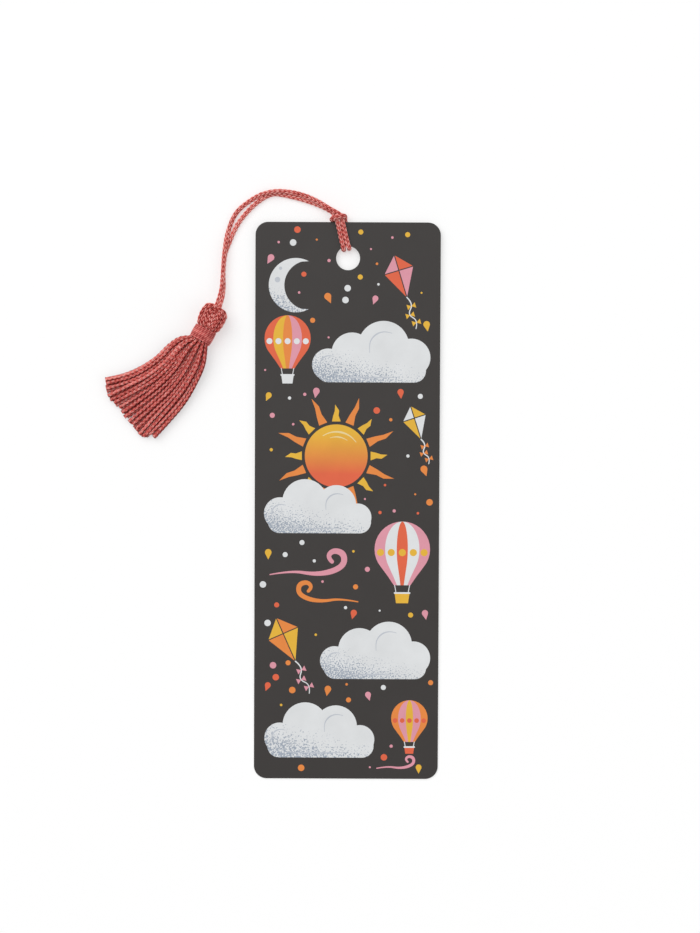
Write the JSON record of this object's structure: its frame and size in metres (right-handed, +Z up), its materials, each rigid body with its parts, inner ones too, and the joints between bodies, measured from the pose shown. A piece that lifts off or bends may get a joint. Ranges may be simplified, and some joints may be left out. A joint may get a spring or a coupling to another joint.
{
  "type": "tasselled bookmark",
  "caption": "Flat rounded card bookmark lying face up, with a doubled cord hitched through a hole near its top end and a bound, fanned tassel that swings beside it.",
  "frame": {"origin": "on the table, under the middle of the card", "axes": "+Z up from the table out of the card's printed face, +Y along the card towards its hole and cord, +X across the card to the right as its front is seen"},
  "size_m": [0.0915, 0.1612, 0.0064],
  "materials": {
    "card": "printed heavy board, matt laminated",
    "cord": "knitted chainette cord, coral, soft sheen",
    "binding": "fine coral thread wound close",
    "tassel": "knitted chainette strands, coral, soft sheen"
  },
  "bodies": {
    "card": {"card": "card"},
    "hitch": {"hitch_loop": "cord"},
    "cord": {"cord_outer_strand": "cord", "cord_inner_strand": "cord", "end_knot": "cord"},
    "tassel": {"neck_binding": "binding", "tassel_strand_01": "tassel", "tassel_strand_02": "tassel", "tassel_strand_03": "tassel", "tassel_strand_04": "tassel", "tassel_strand_05": "tassel", "tassel_strand_06": "tassel", "tassel_strand_07": "tassel", "tassel_strand_08": "tassel", "tassel_strand_09": "tassel", "tassel_strand_10": "tassel", "tassel_strand_11": "tassel", "tassel_strand_12": "tassel", "tassel_strand_13": "tassel", "tassel_strand_14": "tassel", "tassel_strand_15": "tassel", "tassel_strand_16": "tassel"}
  },
  "joints": [
    {"name": "hitch_rock", "type": "hinge", "parent": "card", "child": "hitch", "pos_m": [0, 0.06639, 0.00125], "axis": [0, -0.0088, 1], "range_deg": [-25.6, 0]},
    {"name": "cord_swing", "type": "hinge", "parent": "hitch", "child": "cord", "pos_m": [-0.00283, 0.07885, 0.00254], "axis": [0, 0, 1], "range_deg": [-120, 8]},
    {"name": "tassel_swing", "type": "hinge", "parent": "cord", "child": "tassel", "pos_m": [-0.0365, 0.05055, 0.0032], "axis": [0, 0, 1], "range_deg": [-60, 25]}
  ]
}
